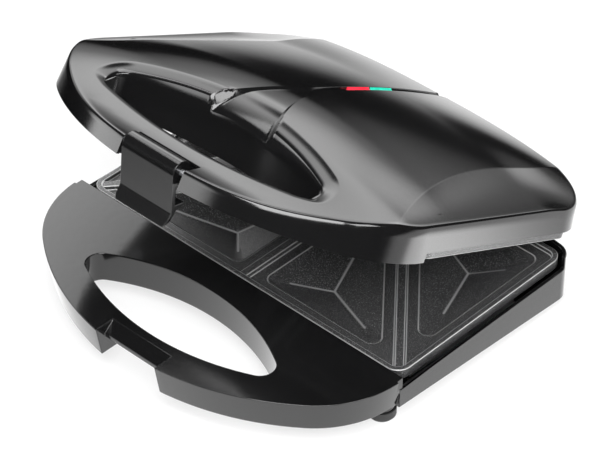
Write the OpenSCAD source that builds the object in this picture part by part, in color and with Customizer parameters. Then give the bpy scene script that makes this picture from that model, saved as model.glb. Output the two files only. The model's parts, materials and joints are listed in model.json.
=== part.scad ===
// Sandwich toaster: a deep lid hinged at the back of a low base, two cooking
// plates with triangular pockets, a grip hole in each half and a swinging latch.
// The plates' front edge is y = 0 in the drawing frame, and the feet stand on z = 0.

/* [Plates] */
// Width of each cooking plate
plate_w = 220; // [204:1:236]
// Depth of each cooking plate, front to back
plate_d = 128; // [120:1:136]
// Corner radius of the plates
plate_r = 8; // [5:0.5:12]
// Height of the band round each plate
plate_band = 5.5; // [5:0.25:7]
// Thickness of the cast plate
plate_t = 2.5; // [2:0.25:3]
// Width of the raised bead round the plate
bead_w = 3; // [2:0.25:4]
// Depth of the land below the bead
land_drop = 2.5; // [1.5:0.25:3]
// Width of the sealing ridges across the plate
ridge_w = 4.5; // [3:0.25:6]
// Distance from the lines of the ridges to the pockets' edges
pocket_inset = 9; // [8:0.5:12]
// Depth of the pockets below the bead
pocket_deep = 12; // [9:0.5:13]
// Radius of the pockets' corners
pocket_r = 5; // [3:0.5:6]
// Gap between the two beads when the lid is shut
bead_gap = 0.6; // [0.4:0.1:1.5]

/* [Outline] */
// Half width of the body at the handles
side_x = 115.5; // [114.8:0.1:118]
// Reach of the base handle in front of the plates
base_reach = 82.5; // [76:0.5:86]
// Reach of the lid handle in front of the plates
lid_reach = 86; // [82:0.5:90]
// Radius of the front curve
front_r = 150; // [140:1:165]
// Radius of the front corners
front_corner_r = 59; // [50:1:62]
// Back of the body behind the plates, on the middle line
back_margin = 12; // [11:0.5:16]
// Radius of the gently curved back
back_r = 760; // [600:10:900]
// Radius of the back corners
back_corner_r = 12; // [8:0.5:16]

/* [Base] */
// Height of the base handle's top above the table
handle_top = 31; // [30:0.5:34]
// Thickness of the base handle
handle_h = 18; // [16:0.5:20]
// Inward lean of the handle's front wall, in degrees
handle_lean = 10; // [6:0.5:12]
// Drop from the handle's top to the plate's bead
plate_drop = 2; // [1.5:0.25:3]
// Height of the side walls' top edge
side_top = 24; // [22:0.5:25]
// Height of the underside at the plates' front edge
belly_front = 12; // [11:0.25:12.5]
// Fall of the underside from front to back, in degrees
belly_lean = 3.4; // [2.5:0.1:3.6]
// Wall thickness of both housings
wall = 2.2; // [1.8:0.1:2.6]
// Gap between the plates' edge and the walls round them
plate_gap = 1.8; // [1.2:0.1:2]
// Step from the handle's end to the side wall
side_step = 1.2; // [0.6:0.1:1.6]
// Start of the side walls, in front of the plates
step_y = 6; // [5:0.5:8]

/* [Grip holes] */
// Radius of the grip holes' back edge
grip_back_r = 118; // [112:1:124]
// Radius of the grip holes' front edge
grip_front_r = 140; // [132:1:148]
// Radius of the grip holes' ends
grip_end_r = 8; // [6:0.5:10]
// Distance from the plates to the holes' back edge
grip_back = 19.5; // [18:0.5:22]
// Width of the grip holes on the middle line
grip_open = 44.5; // [40:0.5:46]

/* [Lid] */
// Gap between the lid's skirt and the base handle when shut
close_gap = 0.6; // [0.4:0.1:1]
// Inward lean of the lid's skirt, in degrees
lid_lean = 8; // [5:0.5:10]
// Height of the skirt's upper edge along the sides
rim_side = 18; // [17:0.5:20]
// Height of the skirt's upper edge at the front
rim_front = 10; // [9:0.5:12]
// Rise of the crown above the side edges
crown = 19; // [16:0.5:22]
// Height of the side walls' lower edge above the handle's
side_lift = 4.5; // [3:0.25:5]
// Thickness of the lid's top
lid_top_t = 2.4; // [2:0.1:3]
// Half width of the hollow down the middle, at the grip hole
valley_w = 24; // [20:0.5:28]
// Half width of the groove that the lenses lie in
groove_w = 2.2; // [2.1:0.1:3]
// Depth of the hollow at the grip hole
valley_deep = 7; // [5:0.5:8]
// Depth of the groove at the lenses
groove_deep = 1.3; // [1:0.1:2]
// Distance from the middle to the edge of the scooped corners
scoop_x = 80; // [76:0.5:84]
// Angle at which the lid stands open
lid_open = 25.3; // [20:0.1:30]

/* [Hinge] */
// Distance from the plates' back edge to the hinge axis
hinge_back = 22; // [21:0.5:26]
// Distance from the middle to each hinge
hinge_x = 70; // [60:1:80]
// Radius of the hinge knuckles
knuckle_r = 7; // [6.5:0.25:8]
// Width of the lid's knuckles
knuckle_w = 14; // [12:0.5:18]
// Thickness of the base's hinge ears
ear_t = 6; // [5:0.5:8]
// Radius of the hinge pins
pin_r = 2.5; // [2:0.1:3]
// Gap beside the knuckles
hinge_gap = 0.4; // [0.3:0.1:0.8]

/* [Latch] */
// Width of the latch
latch_w = 35; // [32:0.5:38]
// Radius of the latch's rounded head
latch_head_r = 6; // [5:0.25:6.25]
// Length of the latch from its pivot to the bend
latch_len = 21.5; // [19:0.5:23]
// Thickness of the latch
latch_t = 2.8; // [2.2:0.1:3.2]
// Reach of the finger lip in front of the latch's face
latch_lip = 4.5; // [3:0.25:6]
// Height of the finger lip
latch_lip_h = 6.5; // [5:0.25:8]
// Inward hang of the latch against the lid, in degrees
latch_hang = 20; // [16:0.5:22]
// Height of the latch's pivot above the skirt's lower edge
latch_up = 7.5; // [7:0.25:9]
// Distance from the lid's front to the latch's pivot
latch_in = 5.2; // [4.5:0.1:7]
// Radius of the latch's pin
latch_pin_r = 1.5; // [1.2:0.1:2]
// Half width of the notches round the latch
notch_x = 20.5; // [19:0.5:22]

/* [Heating] */
// Radius of the tubular heater
heater_r = 3.25; // [2.5:0.05:3.25]
// Distance from the plate's edge to the heater's middle line
heater_in = 8; // [7.5:0.25:9]
// Bend radius of the heater's front corners
heater_bend = 24; // [20:1:28]
// Bend radius of the heater's rear corners
heater_rear_bend = 12; // [9:0.5:14]
// Gap between the two ends of the heater
heater_gap = 40; // [34:1:50]
// Thickness of the heat shields
shield_t = 0.6; // [0.4:0.1:0.8]

/* [Feet and screws] */
// Radius of the rubber feet
foot_r = 7.5; // [6:0.25:8]
// Distance from the middle to the feet
foot_x = 102; // [96:1:102]
// Height of the front feet
front_foot_h = 6; // [5:0.25:7]
// Height of the rear feet
rear_foot_h = 3.6; // [3:0.1:3.9]
// Radius of the screws' thread
screw_r = 2; // [1.5:0.05:2.2]
// Radius of the screws' heads
screw_head_r = 3.8; // [3.2:0.1:4]

/* [Lenses] */
// Width of the indicator lenses
lens_w = 3.6; // [3:0.1:3.8]
// Length of each lens
lens_len = 19; // [14:0.5:20]
// Start of the red lens behind the plates' front edge
lens_y = 58; // [50:1:62]
// Gap between the two lenses
lens_gap = 1.2; // [0.8:0.1:3]

/* [Cord inlet] */
// Radius of the hole for the mains lead
cord_r = 3.6; // [3:0.1:4]
// Radius of the inlet grommet's body
grommet_r = 6; // [5.5:0.1:6.5]

/* [Hidden] */
$fn = 64;

// Fits
fit_gap = 0.3;
bore_gap = 0.06;
seat_gap = 0.02;
eps = 0.01;

// Steps of the outline's arcs
front_steps = 16;
back_steps = 6;

// Box of the whole part: the notch's corners are foremost, the knuckles rearmost
front_tip = sqrt(pow(front_r, 2) - pow(notch_x, 2)) - (front_r - base_reach);
hinge_y = plate_d + hinge_back;
total_d = front_tip + hinge_y + knuckle_r;
plate_front = front_tip - total_d / 2;

// Heights
bead_z = handle_top - plate_drop;
close_z = handle_top + close_gap;
hinge_z = handle_top;
handle_bottom = handle_top - handle_h;
back_y = plate_d + back_margin;
wall_x = side_x - side_step;
draw_in = handle_h * tan(handle_lean);
deck_edge = plate_gap;

heater_z = plate_band + heater_r + fit_gap;

// Latch
latch_y = -lid_reach + latch_in;
latch_z = close_z + latch_up;

// Catch for the latch's hook, and the hook's tip in the latch's own frame
catch_y = -base_reach + 7.3;
catch_top = handle_top - 5.1;
catch_h = 2.7;
notch_back = -base_reach + 13.3;
hook_y = 2.8;
hook_z = -((latch_z - catch_top + catch_h) + fit_gap + hook_y * sin(latch_hang)) / cos(latch_hang);

// Screws through each plate: one behind, two in the front corners
screw_in = 9;
screw_xy = [
    [0, plate_d - screw_in - 1],
    [plate_w / 2 - screw_in, screw_in],
    [screw_in - plate_w / 2, screw_in]
];
screw_head_h = 2.4;
screw_len = 8;
boss_r = screw_r + 2;
boss_bottom = bead_z - plate_band - 4.5;
screw_seat = boss_bottom - fit_gap - 4.4;

function smooth(t) = let (c = max(0, min(1, t))) c * c * (3 - 2 * c);
function mix(a, b, t) = a + (b - a) * t;
function belly_z(y) = belly_front - y * tan(belly_lean);

// Lid surface: rim, crown, hollow down the middle and scooped corners
function rim_z(y) = mix(rim_front, rim_side, smooth((y + 80) / 60));
function swell(y) = y < 15 ? smooth((y + 80) / 95)
    : 1 - 0.4 * pow(max(0, y - 30) / 105, 2);
function crown_z(x, y) = rim_z(y) + crown * (1 - pow(x / (side_x + 0.5), 2)) * swell(y);
function valley_half(y) = mix(valley_w, groove_w, smooth((y + grip_back + 2.5) / 67));
function valley_drop(y) = mix(valley_deep, groove_deep, smooth((y + grip_back + 2.5) / 60))
    * smooth((y + 60) / 25);
function scoop_edge(y) = y < 86 ? min(side_x + 2, scoop_x + 30 * pow((86 - y) / 117, 2))
    : scoop_x + 3 * smooth((y - 86) / 40);
function scoop_z(x, y) = let (
    xe = scoop_edge(y),
    t = max(0, min(1, (x - xe) / (side_x + 4 - xe)))
) mix(crown_z(xe, y), rim_z(y) - 0.6, 1 - pow(1 - t, 1.7));
function lid_z(x, y) = let (a = abs(x), v = valley_half(y))
    a > scoop_edge(y) ? scoop_z(a, y)
    : crown_z(a, y) - (a < v ? valley_drop(y) * smooth((1 - a / v) / 0.45) : 0);

// Columns of the surface, which follow the edges of the hollow and the scoops
function half_columns(y) = let (
    v = valley_half(y), xe = scoop_edge(y), w = side_x + 6
) [
    0, v * 0.55, v * 0.8, v,
    for (k = [1:4]) mix(v, xe, k / 5),
    xe,
    for (k = [1:3]) mix(xe, w, k / 3)
];
function columns(y) = let (h = half_columns(y), n = len(h) - 1)
    [for (i = [-n:n]) i < 0 ? -h[-i] : h[i]];

// Solid under the lid's surface, lowered by drop, down to z = bottom
module under_surface(drop, bottom, rows) {
    y0 = -lid_reach - 6;
    y1 = back_y + 8;
    nx = len(columns(0));
    top = [
        for (j = [0:rows]) let (y = mix(y0, y1, j / rows))
            for (x = columns(y)) [x, y, lid_z(x, y) - drop]
    ];
    n = len(top);
    ends = [
        [-side_x - 6, y0, bottom], [side_x + 6, y0, bottom],
        [side_x + 6, y1, bottom], [-side_x - 6, y1, bottom]
    ];
    skin = [
        for (j = [0:rows - 1]) for (i = [0:nx - 2]) let (a = j * nx + i)
            each (i < (nx - 1) / 2
                ? [[a, a + nx, a + 1], [a + 1, a + nx, a + nx + 1]]
                : [[a, a + nx, a + nx + 1], [a, a + nx + 1, a + 1]])
    ];
    sides = [
        [n, for (i = [0:nx - 1]) i, n + 1],
        [n + 2, for (i = [nx - 1:-1:0]) rows * nx + i, n + 3],
        [n + 1, for (j = [0:rows]) j * nx + nx - 1, n + 2],
        [n + 3, for (j = [rows:-1:0]) j * nx, n],
        [n, n + 1, n + 2, n + 3]
    ];
    polyhedron(concat(top, ends), concat(skin, sides));
}

// Points of an arc about c, from angle a0 to a1 in n steps
function arc(c, r, a0, a1, n) =
    [for (k = [0:n]) c + r * [cos(mix(a0, a1, k / n)), sin(mix(a0, a1, k / n))]];
function reversed(p) = [for (k = [len(p) - 1:-1:0]) p[k]];
function flip_x(p) = [for (q = p) [-q[0], q[1]]];
function flip_y(p) = [for (q = p) [q[0], -q[1]]];

// Right half of a rounded end, grown by g: a wide arc, then a corner arc
function half_end(tip, r_main, r_corner, g, n) = let (
    y_main = r_main - tip,
    x_corner = side_x - r_corner,
    y_corner = y_main - sqrt(pow(r_main - r_corner, 2) - pow(x_corner, 2)),
    turn = atan2(x_corner, y_main - y_corner)
) concat(
    arc([0, y_main], r_main + g, -90, turn - 90, n),
    [for (k = [1:n]) [x_corner, y_corner]
        + (r_corner + g) * [cos(mix(turn - 90, 0, k / n)), sin(mix(turn - 90, 0, k / n))]]
);
function front_half(tip, g) = half_end(tip, front_r, front_corner_r, g, front_steps);
function back_half(g) = reversed(flip_y(half_end(back_y, back_r, back_corner_r, g, back_steps)));
function both_sides(right) = concat(right, [for (q = reversed(flip_x(right))) if (q[0] < -eps) q]);
function lid_plan(g) = both_sides(concat(front_half(lid_reach, g), back_half(g)));
function handle_plan(g) = both_sides(concat(front_half(base_reach, g), [[side_x + g, plate_r]]));
function tub_plan(y_start, g) = both_sides(concat([[side_x + g, y_start]], back_half(g)));

// Upright block with a leaning wall, from one plan at z0 to another at z1
module block(z0, z1, low, high) {
    n = len(low);
    polyhedron(
        concat([for (q = low) [q[0], q[1], z0]], [for (q = high) [q[0], q[1], z1]]),
        concat(
            [[for (i = [0:n - 1]) i], [for (i = [n - 1:-1:0]) n + i]],
            [for (i = [0:n - 1]) let (j = (i + 1) % n) [i, i + n, j + n, j]]
        )
    );
}

// Block of the base handle's plan, which ends at y_end
module handle_block(y_end, z0, z1, g0, g1) {
    intersection() {
        block(z0, z1, handle_plan(g0), handle_plan(g1));
        translate([-2 * side_x, y_end - 2 * side_x, z0 - 1])
            cube([4 * side_x, 2 * side_x, z1 - z0 + 2]);
    }
}

// Plan of the lens-shaped grip holes, grown by g all round
function grip_plan(g) = let (
    cb = -grip_back - grip_back_r,
    cf = grip_front_r - grip_back - grip_open,
    rb = grip_back_r - grip_end_r,
    rf = grip_front_r - grip_end_r,
    ye = (rb * rb - rf * rf + cf * cf - cb * cb) / (2 * (cf - cb)),
    xe = sqrt(rb * rb - pow(ye - cb, 2)),
    tb = atan2(ye - cb, xe),
    tf = atan2(cf - ye, xe)
) concat(
    arc([0, cb], grip_back_r + g, tb, 180 - tb, 24),
    arc([-xe, ye], grip_end_r + g, 180 - tb, 180 + tf, 9),
    arc([0, cf], grip_front_r + g, 180 + tf, 360 - tf, 24),
    arc([xe, ye], grip_end_r + g, -tf, tb, 9)
);

module grip_shape(g, z0, z1) {
    p = grip_plan(g);
    translate([0, 0, z0]) linear_extrude(z1 - z0)
        polygon([for (i = [0:len(p) - 1]) if (norm(p[i] - p[(i + 1) % len(p)]) > eps) p[i]]);
}

// Drawing frame, and the lid's frame as it stands open
module in_place() {
    translate([0, plate_front, 0]) children();
}

module on_lid() {
    in_place() translate([0, hinge_y, hinge_z]) rotate([-lid_open, 0, 0])
        translate([0, -hinge_y, -hinge_z]) children();
}

// Cooking plate with its bead at z = 0, facing up; fixings under it
function incentre(s) = let (
    a = plate_w / 2, b = plate_d, r = (a + b - sqrt(a * a + b * b)) / 2
) s > 0 ? [r, r] : [a - r, b - r];
function corners(s) = s > 0 ? [[0, 0], [plate_w / 2, 0], [0, plate_d]]
    : [[plate_w / 2, plate_d], [0, plate_d], [plate_w / 2, 0]];
function shrink(s, d) = let (
    c = incentre(s), r = (plate_w / 2 + plate_d - norm([plate_w / 2, plate_d])) / 2
) [for (p = corners(s)) c + (p - c) * (r - d) / r];

module pocket(s) {
    c = incentre(s);
    hull() {
        for (p = shrink(s, pocket_inset + pocket_r))
            translate([p[0], p[1], -land_drop - eps]) cylinder(r = pocket_r, h = 1, $fn = 28);
        translate([c[0], c[1], 1.5 - pocket_deep]) sphere(r = 1.5, $fn = 16);
    }
}

// Outside of a pocket under the plate
module pocket_bulge(s) {
    c = incentre(s);
    p = shrink(s, pocket_inset - plate_t / 2);
    z = -plate_band + eps;
    polyhedron(
        [[p[0][0], p[0][1], z], [p[1][0], p[1][1], z], [p[2][0], p[2][1], z],
            [c[0], c[1], -pocket_deep - plate_t]],
        [[0, 2, 1], [0, 1, 3], [1, 2, 3], [2, 0, 3]]
    );
}

module ridge(x0, y0, x1, y1) {
    turn = atan2(y1 - y0, x1 - x0);
    translate([x0, y0, 0]) rotate([90, 0, turn + 90])
        linear_extrude(norm([x1 - x0, y1 - y0])) polygon([
            [-ridge_w / 2 - 0.8, -land_drop - eps], [ridge_w / 2 + 0.8, -land_drop - eps],
            [ridge_w / 2, -0.4], [-ridge_w / 2, -0.4]
        ]);
}

module rounded_slab(w, d, r, z0, z1) {
    translate([0, 0, z0]) {
        for (x = [-1, 1]) for (y = [r, d - r])
            translate([x * (w / 2 - r), y, 0]) cylinder(r = r, h = z1 - z0);
        translate([r - w / 2, 0, 0]) cube([w - 2 * r, d, z1 - z0]);
        translate([-w / 2, r, 0]) cube([w, d - 2 * r, z1 - z0]);
    }
}

module plate_blank() {
    difference() {
        rounded_slab(plate_w, plate_d, plate_r, -plate_band, 0);
        translate([0, bead_w, 0])
            rounded_slab(plate_w - 2 * bead_w, plate_d - 2 * bead_w, plate_r - bead_w, -land_drop, 1);
    }
    intersection() {
        union() {
            ridge(0, bead_w - eps, 0, plate_d - bead_w + eps);
            for (s = [-1, 1]) ridge(s * plate_w / 2, 0, 0, plate_d);
        }
        translate([0, bead_w / 2, 0])
            rounded_slab(plate_w - bead_w, plate_d - bead_w, plate_r - bead_w / 2, -plate_band, 0);
    }
    difference() {
        for (side = [0, 1]) mirror([side, 0, 0]) for (s = [1, -1]) pocket_bulge(s);
        heater(-heater_z, heater_r + fit_gap / 2);
    }
}

module plate_pockets() {
    for (side = [0, 1]) mirror([side, 0, 0]) for (s = [1, -1]) pocket(s);
}

// Tubular heater under the plate's land, with its middle line at z and its radius r
module heater(z, r) {
    x_side = plate_w / 2 - heater_in;
    x0 = x_side - heater_bend;
    x1 = x_side - heater_rear_bend;
    y0 = heater_in + heater_bend;
    y1 = plate_d - heater_in - heater_rear_bend;
    translate([0, 0, z]) for (s = [0, 1]) mirror([s, 0, 0]) {
        translate([-eps, heater_in, 0]) rotate([0, 90, 0]) cylinder(r = r, h = x0 + eps);
        translate([x0, y0, 0]) rotate([0, 0, -90]) rotate_extrude(angle = 90)
            translate([heater_bend, 0]) circle(r = r);
        translate([x_side, y0, 0]) rotate([-90, 0, 0]) cylinder(r = r, h = y1 - y0);
        translate([x1, y1, 0]) rotate_extrude(angle = 90)
            translate([heater_rear_bend, 0]) circle(r = r);
        translate([heater_gap / 2, plate_d - heater_in, 0]) rotate([0, 90, 0])
            cylinder(r = r, h = x1 - heater_gap / 2);
    }
}

// Pins and tags on the heater's two ends
module heater_tags(z) {
    for (s = [0, 1]) mirror([s, 0, 0]) translate([heater_gap / 2, plate_d - heater_in, z]) {
        translate([-5, 0, 0]) rotate([0, 90, 0]) cylinder(r = 1.2, h = 5 - seat_gap);
        translate([-9, -0.4, -3.1]) cube([5, 0.8, 6.2]);
    }
}

module shield(z0, lean, depth) {
    translate([0, 0, z0]) rotate([lean, 0, 0]) difference() {
        translate([0, 8, 0]) rounded_slab(plate_w - 12, depth, plate_r, 0, shield_t);
        for (p = screw_xy) translate([p[0], p[1], -1]) cylinder(r = boss_r + 3, h = 3);
    }
}

module plate_screw() {
    difference() {
        cylinder(r = screw_head_r, h = screw_head_h);
        for (a = [0, 90]) rotate([0, 0, a]) translate([-2.2, -0.5, -eps]) cube([4.4, 1, 1.2]);
    }
    translate([0, 0, screw_head_h - eps]) cylinder(r = screw_r, h = screw_len);
}

// Parts of the base
module belly_space(lift) {
    translate([0, 0, belly_front + lift]) rotate([-belly_lean, 0, 0])
        translate([-200, -200, 0]) cube([400, 500, 100]);
}

module lower_tub() {
    difference() {
        intersection() {
            block(0, handle_top, tub_plan(-deck_edge - wall, -side_step),
                tub_plan(-deck_edge - wall, -side_step));
            belly_space(0);
        }
        intersection() {
            block(0, handle_top + 1, tub_plan(-deck_edge, -side_step - wall),
                tub_plan(-deck_edge, -side_step - wall));
            belly_space(wall);
        }
        translate([-side_x - 5, -deck_edge - wall - 1, side_top])
            cube([2 * side_x + 10, plate_d + deck_edge + wall - 3, handle_top]);
    }
}

module lower_handle() {
    difference() {
        union() {
            difference() {
                handle_block(-deck_edge, handle_bottom, handle_top, -draw_in, 0);
                handle_block(-deck_edge - wall, handle_bottom - 1, handle_top - wall,
                    -draw_in - wall, -wall);
            }
            intersection() {
                handle_block(-deck_edge - wall / 2, handle_bottom, handle_top - wall / 2,
                    -draw_in - wall / 2, -wall / 2);
                union() {
                    grip_shape(wall, handle_bottom - 2, handle_top);
                    for (k = [-4:4]) if (abs(k) > 1) translate([k * 24 - 0.8, -100, handle_bottom + 2])
                        cube([1.6, 110, handle_h]);
                    for (x = [-notch_x - wall, notch_x]) translate([x, -100, handle_bottom - 3])
                        cube([wall, 100 - grip_back - grip_open + 2, handle_h + 4]);
                }
            }
        }
        grip_shape(0, handle_bottom - 3, handle_top + 1);
        for (side = [0, 1]) mirror([side, 0, 0])
            translate([wall_x, -step_y, handle_bottom - 1]) cube([5, step_y + 1, handle_h + 2]);
        latch_notch();
    }
    catch_lip();
}

// Notch for the latch in the base handle
module latch_notch() {
    translate([-notch_x, 0, 0]) rotate([90, 0, 90]) linear_extrude(2 * notch_x) polygon([
        [notch_back, handle_top + 1], [notch_back, handle_top], [catch_y, catch_top],
        [catch_y, handle_bottom - 2], [-base_reach - 5, handle_bottom - 2],
        [-base_reach - 5, handle_top + 1]
    ]);
}

// Folded deck behind the latch, whose lower edge the latch's hook catches
module catch_lip() {
    translate([-notch_x - wall / 2, 0, 0]) rotate([90, 0, 90]) linear_extrude(2 * notch_x + wall)
        polygon([
            [notch_back, handle_top], [catch_y, catch_top], [catch_y, catch_top - catch_h],
            [catch_y + wall, catch_top - catch_h], [notch_back + wall, handle_top - wall - 1],
            [notch_back + wall, handle_top]
        ]);
}

// Posts over the feet, which stand a little above the floor inside
module foot_post(y, top) {
    for (s = [-1, 1]) translate([s * foot_x, y, top])
        cylinder(r = foot_r - 0.8, h = belly_z(y) + wall + post_up - top);
}

module foot_sockets(y, top) {
    for (s = [-1, 1]) translate([s * foot_x, y, top - 1]) cylinder(r = stem_r, h = stem_h + 1.2);
}

front_foot_y = -3;
stem_r = 2.2;
stem_h = 2.8;
post_up = 1;
back_wall_y = back_y - side_step;
rear_foot_y = plate_d - 12;
grommet_z = 15;

module hinge_ears() {
    for (s = [-1, 1]) for (k = [-1, 1])
        translate([s * hinge_x + k * (knuckle_w / 2 + hinge_gap + ear_t / 2), 0, 0])
            translate([-ear_t / 2, hinge_y, hinge_z]) {
                rotate([0, 90, 0]) cylinder(r = knuckle_r, h = ear_t);
                translate([0, back_y - hinge_y - 6, -knuckle_r])
                    cube([ear_t, hinge_y - back_y + 6, knuckle_r - 0.4]);
            }
}

module lower_housing() {
    color("#151515") in_place() difference() {
        union() {
            lower_tub();
            lower_handle();
            difference() {
                hinge_ears();
                block(0, handle_top + 20, tub_plan(0, -side_step - wall),
                    tub_plan(0, -side_step - wall));
            }
            intersection() {
                for (p = screw_xy) translate([p[0], p[1], 0])
                    cylinder(r = boss_r + 1, h = boss_bottom - fit_gap);
                belly_space(0);
            }
            foot_post(front_foot_y, front_foot_h);
            foot_post(rear_foot_y, rear_foot_h);
        }
        for (s = [-1, 1]) translate([s * hinge_x - 20, hinge_y, hinge_z]) rotate([0, 90, 0])
            cylinder(r = pin_r + seat_gap, h = 40);
        for (p = screw_xy) translate([p[0], p[1], 0]) {
            translate([0, 0, -1]) cylinder(r = screw_r + fit_gap, h = handle_top);
            translate([0, 0, -1]) cylinder(r = screw_head_r + fit_gap, h = screw_seat + 1);
        }
        foot_sockets(front_foot_y, front_foot_h);
        foot_sockets(rear_foot_y, rear_foot_h);
        translate([0, back_wall_y - wall - 3, grommet_z]) rotate([-90, 0, 0])
            cylinder(r = grommet_r + seat_gap, h = wall + 8);
        for (s = [-1, 1]) for (k = [0:6]) translate([s * 48 - 21 + k * 7, 50, -5])
            cube([2.4, 34, belly_front + 6]);
    }
}

module lower_plate() {
    color("#262626") in_place() difference() {
        union() {
            translate([0, 0, bead_z]) plate_blank();
            for (p = screw_xy) translate([p[0], p[1], boss_bottom])
                cylinder(r = boss_r, h = bead_z - land_drop - boss_bottom - 0.5);
        }
        translate([0, 0, bead_z]) plate_pockets();
        for (p = screw_xy) translate([p[0], p[1], boss_bottom - 1])
            cylinder(r = screw_r + seat_gap, h = 1 + 5.5);
    }
}

module lower_heater() {
    color("#5d5a55") in_place() heater(bead_z - heater_z, heater_r);
}

module lower_heater_terminals() {
    color("#c9c3b4") in_place() heater_tags(bead_z - heater_z);
}

module lower_heat_shield() {
    color("#b9bcc0") in_place() shield(belly_front + wall + 0.8, -belly_lean, plate_d - 34);
}

module lower_plate_screws() {
    color("#8f9296") in_place() for (p = screw_xy)
        translate([p[0], p[1], screw_seat - screw_head_h]) plate_screw();
}

module foot(y, h) {
    for (s = [-1, 1]) translate([s * foot_x, y, 0]) {
        translate([0, 0, 1.5]) cylinder(r = foot_r, h = h - 1.5);
        rotate_extrude() polygon([[0, 0], [foot_r - 1.2, 0], [foot_r, 1.5], [0, 1.5]]);
        translate([0, 0, h - eps]) cylinder(r = stem_r - seat_gap, h = stem_h);
    }
}

module front_feet() {
    color("#101010") in_place() foot(front_foot_y, front_foot_h);
}

module rear_feet() {
    color("#101010") in_place() foot(rear_foot_y, rear_foot_h);
}

pin_len = knuckle_w + 2 * hinge_gap + 2 * ear_t;

module hinge_pins() {
    color("#9b9ea3") in_place() for (s = [-1, 1])
        translate([s * hinge_x - pin_len / 2, hinge_y, hinge_z]) rotate([0, 90, 0]) {
            cylinder(r = pin_r, h = pin_len);
            translate([0, 0, s < 0 ? -1.5 : pin_len]) cylinder(r = pin_r + 1, h = 1.5);
        }
}

module cord_grommet() {
    color("#1b1b1b") in_place() translate([0, back_wall_y - wall, grommet_z]) rotate([-90, 0, 0])
        difference() {
            union() {
                translate([0, 0, -2]) cylinder(r = grommet_r, h = wall + 4);
                translate([0, 0, wall + 0.1]) cylinder(r = grommet_r + 2, h = 2.4);
                translate([0, 0, -2.4]) cylinder(r = grommet_r + 1.4, h = 2.3);
            }
            translate([0, 0, -4]) cylinder(r = cord_r, h = wall + 12);
        }
}

thermostat_y = plate_d * 0.47;
thermostat_z = bead_z - plate_band - fit_gap;

module thermostat() {
    color("#d9d4c7") in_place() translate([0, thermostat_y, thermostat_z]) {
        translate([0, 0, -2.8]) cylinder(r = 3, h = 2.8);
        translate([0, 0, -8]) cylinder(r = 5, h = 5.2 + eps);
        for (a = [0, 180]) rotate([0, 0, a]) translate([-2, 4, -7.4]) cube([4, 8, 0.8]);
    }
}

module thermal_fuse() {
    color("#c8b27a") in_place() translate([0, plate_d * 0.72, bead_z - plate_band - fit_gap - 2])
        rotate([90, 0, 0]) {
            cylinder(r = 2, h = 11, center = true);
            cylinder(r = 0.5, h = 24, center = true);
        }
}

block_y = plate_d - 4;
block_h = 9;

module terminal_block() {
    color("#e4dfd0") in_place() translate([34, block_y - 6, belly_z(block_y - 6) + wall + 0.3])
        difference() {
            translate([-11, -5, 0]) cube([22, 10, block_h]);
            for (k = [-1, 0, 1]) translate([k * 7, 0, 5]) {
                rotate([90, 0, 0]) cylinder(r = 1.6, h = 12, center = true);
                cylinder(r = 1.8, h = 6);
            }
        }
}

module power_leads() {
    color("#8a2b22") in_place() for (k = [-1, 0, 1])
        translate([34 + k * 7, block_y - 11 - fit_gap, belly_z(block_y - 6) + wall + 5.3])
            rotate([90, 0, 0]) cylinder(r = 1.3, h = 14);
}

// Parts of the lid
module lid_volume() {
    intersection() {
        block(0, 50, lid_plan(0), lid_plan(-50 * tan(lid_lean)));
        under_surface(0, -1, 32);
    }
}

// Volume up to the middle of the lid's walls, which the inner ribs and bosses end in
module lid_core() {
    intersection() {
        block(0, 50, lid_plan(-wall / 2), lid_plan(-wall / 2 - 50 * tan(lid_lean)));
        under_surface(lid_top_t / 2, -2, 16);
    }
}

module lid_knuckles() {
    for (s = [-1, 1]) translate([s * hinge_x - knuckle_w / 2, hinge_y, hinge_z - close_z]) {
        rotate([0, 90, 0]) cylinder(r = knuckle_r - 0.3, h = knuckle_w);
        translate([0, back_y - hinge_y - 8, close_gap + 0.3])
            cube([knuckle_w, hinge_y - back_y + 8, knuckle_r - 1.2]);
    }
}

module lid_inside() {
    intersection() {
        block(-1, 50, lid_plan(tan(lid_lean) - wall), lid_plan(-wall - 50 * tan(lid_lean)));
        under_surface(lid_top_t, -2, 16);
    }
}

// Space under the raised edge of the lid's side and back walls
module side_cut() {
    translate([-side_x - 5, -step_y, -2]) cube([2 * side_x + 10, 300, side_lift + 2]);
}

// Depth of the bay that the latch hangs in, and the pin's hold in the lugs beside it
latch_bay = latch_in + latch_head_r + 0.8;
pin_hold = 4;

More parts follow.
